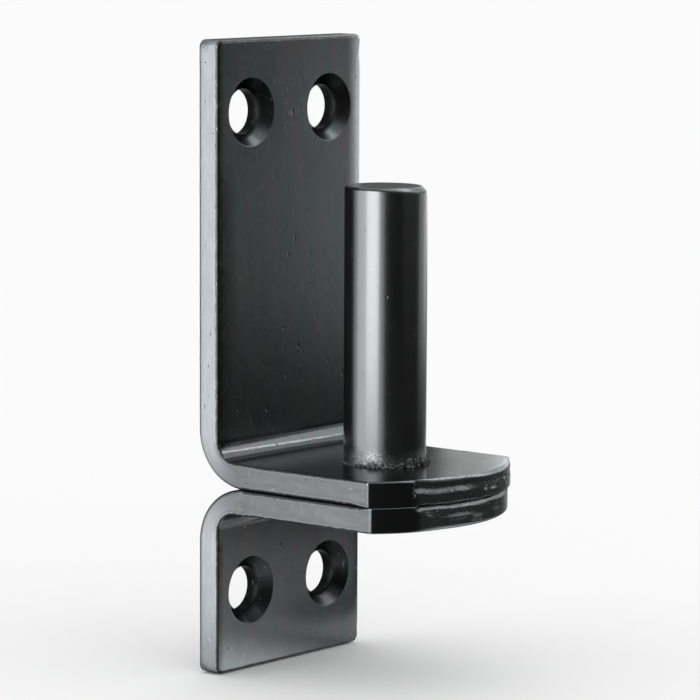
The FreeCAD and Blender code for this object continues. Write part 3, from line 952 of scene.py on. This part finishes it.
    def cut_bend(self, bm):
        """Cut the flat bar across, finely where it folds and coarsely elsewhere."""
        cuts = [self.bend_start + (self.bend_end - self.bend_start) * i / self.BEND_CUTS
                for i in range(self.BEND_CUTS + 1)]
        cuts += [self.bend_end + self.sizes.rise_length * i / self.RISE_CUTS
                 for i in range(1, self.RISE_CUTS + 1)]
        for s in cuts:
            geometry = bm.verts[:] + bm.edges[:] + bm.faces[:]
            bmesh.ops.bisect_plane(bm, geom=geometry, dist=1e-7, plane_co=(0.0, s, 0.0),
                                   plane_no=(0.0, 1.0, 0.0))

    def mesh(self, name, place):
        """The folded mesh with its flat coordinates kept for the materials."""
        bm = self.build()
        offset = self.seed * 5.0
        turned, least = (-1.0, -1.0) if self.upper else (1.0, 0.0)
        flat = [(v.co.x / MM + offset, (v.co.y - self.bend_start) / MM, v.co.z / MM)
                for v in bm.verts]
        side = [max(least, turned * v.co.x / HALF_WIDTH) for v in bm.verts]
        for vert in bm.verts:
            vert.co = place @ self.fold(*vert.co)
        mesh = closed_mesh(name, bm)
        write_attributes(mesh, {"flat": flat, "side": side})
        smooth_shade(mesh)
        return mesh


def lathe(name, profile, top, chamfer):
    """A closed body turned about the Z axis from (radius, height) points, poles at both ends.

    The chamfer at its top runs out to one side, as a hand-held file leaves it.
    """
    bm = bmesh.new()
    painted_shade_and_glint, cut = (bm.verts.layers.float.new(key) for key in ("painted_shade_and_glint", "cut"))
    rings = []
    for radius, height in profile:
        ring = []
        for i in range(PIN_STEPS if radius > 1e-7 else 1):
            turn = 2 * math.pi * i / PIN_STEPS
            out = Vector((math.cos(turn), math.sin(turn), 0.0))
            share = 0.40 + 0.65 * smoothstep(out.dot(FULL_SIDE), -0.4, 1.1)
            inset = PIN_RADIUS - radius
            depth = top - height
            if max(inset, depth) < 1.5 * chamfer:
                inset *= share
                depth *= share
            vert = bm.verts.new(out * (PIN_RADIUS - inset) + Vector((0.0, 0.0, top - depth)))
            # The ring at the chamfer's lower edge carries a painted shade line.
            rim = abs(depth - chamfer * share) < 0.11 * MM
            vert[painted_shade_and_glint] = float(rim)
            vert[cut] = float(depth < 0.05 * MM and not rim)
            ring.append(vert)
        rings.append(ring)
    for low, high in zip(rings[:-1], rings[1:]):
        bridge(bm, low, high)
    return closed_mesh(name, bm)


def rounded_profile(corners, radius):
    """A turned profile whose inner corners are rounded by small arcs."""
    points = [corners[0]]
    for before, corner, after in zip(corners[:-2], corners[1:-1], corners[2:]):
        middle = Vector(corner)
        a = Vector(before) - middle
        b = Vector(after) - middle
        reach = min(radius, 0.45 * a.length, 0.45 * b.length)
        start = middle + a.normalized() * reach
        stop = middle + b.normalized() * reach
        for i in range(ARC_STEPS + 1):
            t = i / ARC_STEPS
            points.append(tuple(start * (1 - t) ** 2 + middle * 2 * t * (1 - t) + stop * t ** 2))
    points.append(corners[-1])
    return points


class PINTLE_OT_upper_plate(Operator):
    """Make the tall bent bar with its cropped nose and screw holes"""

    bl_idname = "pintle.upper_plate"
    bl_label = "Upper plate"

    def execute(self, context):
        sizes = context.scene.pintle_sizes
        leg = UPPER_HIGH.z - PARTING
        bar = BentBar(leg, UPPER_HIGH.z - ROW_SPACING / 2, sizes.upper_skew, True)
        mesh = bar.mesh("upper_plate_form", Matrix.Translation((0.0, 0.0, PARTING)))
        add_piece("upper_plate_form", mesh, plate_steel(), "upper_plate")
        return {"FINISHED"}


class PINTLE_OT_lower_plate(Operator):
    """Make the short bent bar, turned over under the tall one"""

    bl_idname = "pintle.lower_plate"
    bl_label = "Lower plate"

    def execute(self, context):
        leg = PARTING - LOWER_LOW.z
        skew = context.scene.pintle_sizes.lower_skew
        bar = BentBar(leg, -LOWER_LOW.z - ROW_SPACING / 2, skew, False)
        place = Matrix.Translation((0.0, 0.0, PARTING)) @ Matrix.Rotation(math.pi, 4, "Y")
        mesh = bar.mesh("lower_plate_form", place)
        material = bpy.data.materials.get("blackened_plate") or plate_steel()
        add_piece("lower_plate_form", mesh, material, "lower_plate")
        return {"FINISHED"}


class PINTLE_OT_pin(Operator):
    """Turn the round pin with its chamfered top"""

    bl_idname = "pintle.pin"
    bl_label = "Pin"

    def execute(self, context):
        chamfer = context.scene.pintle_sizes.pin_chamfer
        foot = TONGUE_TOP - 0.5 * MM
        soft = 0.35 * MM
        corners = [(PIN_RADIUS, PIN_TOP - 2 * chamfer), (PIN_RADIUS, PIN_TOP - chamfer),
                   (PIN_RADIUS - chamfer, PIN_TOP), (0.0, PIN_TOP)]
        profile = [(0.0, foot), (PIN_RADIUS - soft, foot), (PIN_RADIUS, foot + soft)]
        profile += rounded_profile(corners, soft)[:-1]
        profile += [(share * PIN_RADIUS, PIN_TOP) for share in (0.78, 0.5, 0.2, 0.0)]
        mesh = lathe("pin_form", profile, PIN_TOP, chamfer)
        set_round_pin(mesh, 0.0)
        add_piece("pin_form", mesh, pin_steel(), "pin")
        return {"FINISHED"}


class PINTLE_OT_weld(Operator):
    """Lay the crumbly weld round the pin's foot"""

    bl_idname = "pintle.weld"
    bl_label = "Weld"

    def execute(self, context):
        mesh = weld_mesh()
        add_piece("weld_form", mesh, weld_metal(), "weld_bead")
        return {"FINISHED"}


def weld_mesh():
    """A closed ring of weld, thick and lumpy, with the height that each side shows."""
    wide = WELD_HIGH.x - PIN_RADIUS - 0.1 * MM
    tall = WELD_HIGH.z - WELD_LOW.z - 0.05 * MM
    inner = PIN_RADIUS - 0.4 * MM
    bm = bmesh.new()
    painted_shade_and_glint = bm.verts.layers.float.new("painted_shade_and_glint")
    rings = []
    for i in range(WELD_STEPS):
        turn = 2 * math.pi * i / WELD_STEPS
        out = Vector((math.cos(turn), math.sin(turn), 0.0))
        lump = 0.5 + 0.5 * ripple(out.x * 3.1, out.y * 3.1, 2.0)
        bead = 0.5 + 0.5 * ripple(out.x * 8.0, out.y * 8.0, 6.0)
        aside = out.dot(FULL_SIDE)
        full = smoothstep(aside, -0.1, 0.5)
        more = 0.42 * smoothstep(aside, -0.9, -0.4) + 0.58 * full
        # Painted glints reach further on the side away from the weld's full side.
        pale = smoothstep(aside, -0.85, -0.5) * (1.0 - full)
        fill = more * smoothstep(0.5 * lump + 0.5 * bead, 0.20, 0.75)
        height = tall * (0.16 + 0.80 * fill)
        width = wide * (0.20 + 0.75 * fill)
        ring = []
        for k in range(WELD_SECTION):
            share = k / (WELD_SECTION - 1)
            bend = share * math.pi / 2
            r = PIN_RADIUS + width * math.cos(bend) ** 1.25
            z = height * math.sin(bend) ** 1.25
            rough = ripple(out.x * 15.0, out.y * 15.0, share * 3.0)
            fine = ripple(out.x * 38.0, out.y * 38.0, share * 7.0)
            swell = (0.58 * rough + 0.34 * fine) * MM * math.sin(math.pi * share) ** 0.5
            swell *= min(1.0, 0.1 + 1.6 * more)
            r = min(max(r + swell * math.cos(bend), PIN_RADIUS), PIN_RADIUS + wide)
            z = min(max(z + swell * math.sin(bend), 0.0), tall)
            vert = bm.verts.new((out.x * r, out.y * r, z))
            # Painted glints at the weld's high points.
            vert[painted_shade_and_glint] = smoothstep(rough + 0.8 * fine, 0.30 - 0.5 * pale, 0.6 - 0.3 * pale)
            ring.append(vert)
        for z in (height * 0.9, 0.0):
            ring.append(bm.verts.new((out.x * inner, out.y * inner, z)))
        rings.append(ring)
    for low, high in zip(rings, rings[1:] + rings[:1]):
        for k in range(len(low)):
            j = (k + 1) % len(low)
            bm.faces.new((low[k], high[k], high[j], low[j]))
    mesh = closed_mesh("weld_form", bm)
    set_round_pin(mesh, TONGUE_TOP)
    return mesh


def camera_axes(stage):
    """The camera's backward, right and up directions."""
    azimuth = stage.azimuth
    elevation = stage.elevation
    back = Vector((-math.sin(azimuth) * math.cos(elevation),
                   -math.cos(azimuth) * math.cos(elevation), math.sin(elevation)))
    right = Vector((math.cos(azimuth), -math.sin(azimuth), 0.0))
    up = back.cross(right)
    rolled = right * math.cos(stage.roll) + up * math.sin(stage.roll)
    return back, rolled, back.cross(rolled)


def place_camera(stage):
    """The camera as it stood for the photograph."""
    back, right, up = camera_axes(stage)
    data = bpy.data.cameras.new("camera")
    data.sensor_width = 36.0
    data.lens = stage.focal_pixels / PHOTO_PIXELS * data.sensor_width
    data.clip_start = 0.01
    turn = Matrix((right, up, back)).transposed().to_4x4()
    position = (CAMERA_AIM + back * stage.distance + right * CAMERA_SLIDE.x
                + up * CAMERA_SLIDE.y)
    camera = link("camera", data)
    camera.matrix_world = Matrix.Translation(position) @ turn
    bpy.context.scene.camera = camera


def stage_direction(stage, degrees, height):
    """A direction from the part, turned from the camera's side: to its right is positive."""
    back, right, up = camera_axes(stage)
    level = Vector((back.x, back.y, 0.0)).normalized()
    aside = Vector((right.x, right.y, 0.0)).normalized()
    turn = math.radians(degrees)
    flat = level * math.cos(turn) + aside * math.sin(turn)
    rise = math.radians(height)
    return (flat * math.cos(rise) + Vector((0.0, 0.0, math.sin(rise)))).normalized()


def soft_box(name, centre, aim, wide, tall, light):
    """A soft lamp facing a point, seen in the steel only, so it doesn't wash out the floor."""
    data = bpy.data.lights.new(name, "AREA")
    data.shape = "RECTANGLE"
    data.size = wide
    data.size_y = tall
    data.energy = light * math.pi * wide * tall
    lamp = link(name, data)
    lamp.location = centre
    lamp.rotation_euler = (centre - aim).to_track_quat("Z", "Y").to_euler()
    lamp.visible_camera = False
    lamp.visible_diffuse = False


def white_surround():
    """A plain white world."""
    world = bpy.data.worlds.new("surround")
    bpy.context.scene.world = world
    tree = Tree(world)
    shade = tree.node("ShaderNodeBackground", {}, {"Color": (1.0, 1.0, 1.0, 1.0),
                                                   "Strength": 1.0})
    tree.node("ShaderNodeOutputWorld", {}, {"Surface": tree.value(shade.outputs[0])})


def pale_floor():
    """Matt white with a faint mottle."""
    def fill(tree):
        mottle = tree.speckle(tree.world_place(), 30.0)
        shade = tree.blend(mottle, scaled_colour(FLOOR_WHITE, 0.99), FLOOR_WHITE)
        return {"Base Color": shade, "Roughness": 0.85, "Specular IOR Level": 0.0}

    return finish_material("pale_floor", fill)


def stage_sheet(name, points, faces, material):
    """A surface that belongs to the stage and not to the part."""
    mesh = bpy.data.meshes.new(name)
    mesh.from_pydata([tuple(point) for point in points], [], faces)
    mesh.materials.append(material)
    sheet = link(name, mesh)
    return sheet


def flat_sheet(name, low, high, level, material):
    """A level stage rectangle from its low and high (x, y) corners."""
    corners = [(low[0], low[1], level), (high[0], low[1], level),
               (high[0], high[1], level), (low[0], high[1], level)]
    return stage_sheet(name, corners, [(0, 1, 2, 3)], material)


def lay_floor():
    """A plain pale floor just under the part."""
    flat_sheet("floor", (-FLOOR_REACH, -FLOOR_REACH), (FLOOR_REACH, FLOOR_REACH),
               BOTTOM - 0.2 * MM, pale_floor())


def card_material(name, stops, axis="Z"):
    """A card whose own shade runs from grey to grey, by (place on the axis, shade) stops."""
    def fill(tree):
        place = tree.axis(tree.world_place(), axis)
        before, grey = stops[0]
        shade = (grey, grey, grey, 1.0)
        for after, grey in stops[1:]:
            shade = tree.blend(tree.step(place, before, after), shade, (grey,) * 3)
            before = after
        return {"Base Color": (0.0, 0.0, 0.0, 1.0), "Roughness": 1.0,
                "Specular IOR Level": 0.0, "Emission Color": shade, "Emission Strength": 1.0}

    return finish_material(name, fill)


def hide_from_view(card):
    """Keep a card out of the picture and the floor's light: only the steel sees it."""
    card.visible_camera = False
    card.visible_diffuse = False
    card.visible_shadow = False


def curved_card(stage, name, start, stop, profile, material):
    """A card round the pin between two turns from the camera, seen only in the steel.

    The profile is a line of (distance from the pin's axis, height) points.
    """
    rows = len(profile)
    points = []
    for i in range(CARD_STEPS + 1):
        way = stage_direction(stage, start + (stop - start) * i / CARD_STEPS, 0.0)
        for radius, level in profile:
            points.append(way * radius + Vector((0.0, PIN_Y, level)))
    faces = []
    for i in range(CARD_STEPS):
        for k in range(rows - 1):
            first = i * rows + k
            faces.append((first, first + rows, first + rows + 1, first + 1))
    hide_from_view(stage_sheet(name, points, faces, material))


def hang_lamps(stage):
    """A tall soft box before the part on the left, and one above it."""
    radius = stage.ring_radius
    pin = Vector((0.0, PIN_Y, 0.0))
    start, stop = KEY_BOX_SIDES
    wide = 2 * radius * math.tan(math.radians((start - stop) / 2))
    tall = CARD_TOP - BOTTOM
    aim = Vector((0.0, PIN_Y, BOTTOM + tall / 2))
    centre = aim + stage_direction(stage, (start + stop) / 2, 0.0) * radius
    soft_box("key_box", centre, aim, wide, tall, stage.key_light)
    above = pin + stage_direction(stage, TOP_BOX_TURN, TOP_BOX_HEIGHT) * TOP_BOX_DISTANCE
    soft_box("top_box", above, pin, *TOP_BOX_SIDES, stage.top_light)


def stand_cards(stage):
    """Bright and dark cards round the part, each with its own stretch of floor."""
    far = stage.ring_radius * 0.98
    wall = [(far, GROUND), (far, CARD_TOP)]
    beside = [(0.06, GROUND)] + wall
    before = [(stage.card_radius, GROUND), (far, GROUND + 8 * MM), (far, CARD_TOP)]
    floor_light = [(GROUND, 0.50), (GROUND + 2.0 * MM, 0.42), (GROUND + 3.0 * MM, 0.03)]
    near_light = [(GROUND, 0.80), (GROUND + 2.0 * MM, 0.50), (GROUND + 3.0 * MM, 0.03)]
    top_light = [(0.165, 1.4), (0.170, 5.0), (0.178, 5.0), (0.186, 0.85)]
    bend_light = [(0.046, 0.1), (0.056, 1.4)] + top_light
    high_light = [(0.09, 0.12), (0.11, 1.4)] + top_light
    # Each card's turns from the camera in degrees, its profile, and its shades by height.
    cards = (
        ("side_card", -56.0, -84.0, beside, [(0.0, stage.side_light)]),
        ("edge_card", -84.0, -103.0, beside, [(0.0, 0.9)]),
        ("front_card", -5.0, 48.0, before, [(-0.048, 0.055), (-0.03, 0.025), (0.12, 0.12)]),
        ("mid_card", 48.0, 92.0, before, near_light + [(0.0, 0.10), (0.12, 0.30)]),
        ("bend_card", 92.0, 101.5, before,
         near_light + [(-0.01, 0.12), (0.03, 0.10)] + high_light),
        ("face_card", 101.5, 106.0, before,
         floor_light + [(-0.01, 0.38), (0.03, 0.24)] + high_light),
        ("right_card", 106.0, 128.0, before,
         floor_light + [(-0.02, 0.70), (0.03, 0.80)] + bend_light),
        ("rim_card", 128.0, 150.0, before,
         [(-0.04, 0.2), (-0.01, 1.3), (0.05, 1.3), (0.09, 0.80)]),
        ("dark_rear_card", -104.0, -183.4, wall,
         [(-0.012, 0.02), (0.036, 0.02), (0.07, 0.16), (0.20, 0.90)]),
        ("half_rear_card", -183.4, -186.4, wall,
         [(-0.02, 0.1), (0.02, 1.3), (0.033, 1.3), (0.06, 0.6)]),
        ("rear_card", -186.4, -210.0, wall,
         [(-0.02, 0.3), (0.02, 2.7), (0.033, 2.7), (0.06, 1.0)]),
    )
    for name, start, stop, profile, stops in cards:
        curved_card(stage, name, start, stop, profile, card_material(name, stops))
    half = HALF_WIDTH * 0.95
    shades = card_material("glow_card", [(-half, 2.1), (half, 0.44)], "X")
    hide_from_view(flat_sheet("glow_card", (-half, PIN_Y - 10 * MM), (half, PIN_Y + 18 * MM),
                              GROUND, shades))


class PINTLE_OT_stage(Operator):
    """Set the floor, the lamps, the cards and the camera"""

    bl_idname = "pintle.stage"
    bl_label = "Stage"

    def execute(self, context):
        stage = context.scene.pintle_stage
        context.scene.view_settings.view_transform = "Standard"
        place_camera(stage)
        white_surround()
        lay_floor()
        hang_lamps(stage)
        stand_cards(stage)
        return {"FINISHED"}


class PINTLE_PT_panel(Panel):
    """Lists the pieces of the pintle and their settings"""

    bl_label = "Hinge pintle"
    bl_idname = "PINTLE_PT_panel"
    bl_space_type = "VIEW_3D"
    bl_region_type = "UI"
    bl_category = "Pintle"

    def draw(self, context):
        layout = self.layout
        for operator in STEPS:
            layout.operator(operator)
        for group in ("pintle_sizes", "pintle_finish", "pintle_stage"):
            settings = getattr(context.scene, group)
            box = layout.box()
            for name in settings.__annotations__:
                box.prop(settings, name)


STEPS = ("pintle.upper_plate", "pintle.lower_plate", "pintle.pin", "pintle.weld",
         "pintle.stage")
GROUPS = {"pintle_sizes": PintleSizes, "pintle_finish": PintleFinish,
          "pintle_stage": PintleStage}
CLASSES = (PintleSizes, PintleFinish, PintleStage, PINTLE_OT_upper_plate,
           PINTLE_OT_lower_plate, PINTLE_OT_pin, PINTLE_OT_weld, PINTLE_OT_stage,
           PINTLE_PT_panel)


def register():
    for cls in CLASSES:
        bpy.utils.register_class(cls)
    for name, group in GROUPS.items():
        setattr(bpy.types.Scene, name, PointerProperty(type=group))


def unregister():
    for name in GROUPS:
        delattr(bpy.types.Scene, name)
    for cls in reversed(CLASSES):
        bpy.utils.unregister_class(cls)


def main():
    register()
    for step in STEPS:
        group, name = step.split(".")
        getattr(getattr(bpy.ops, group), name)()


if __name__ == "__main__":
    main()
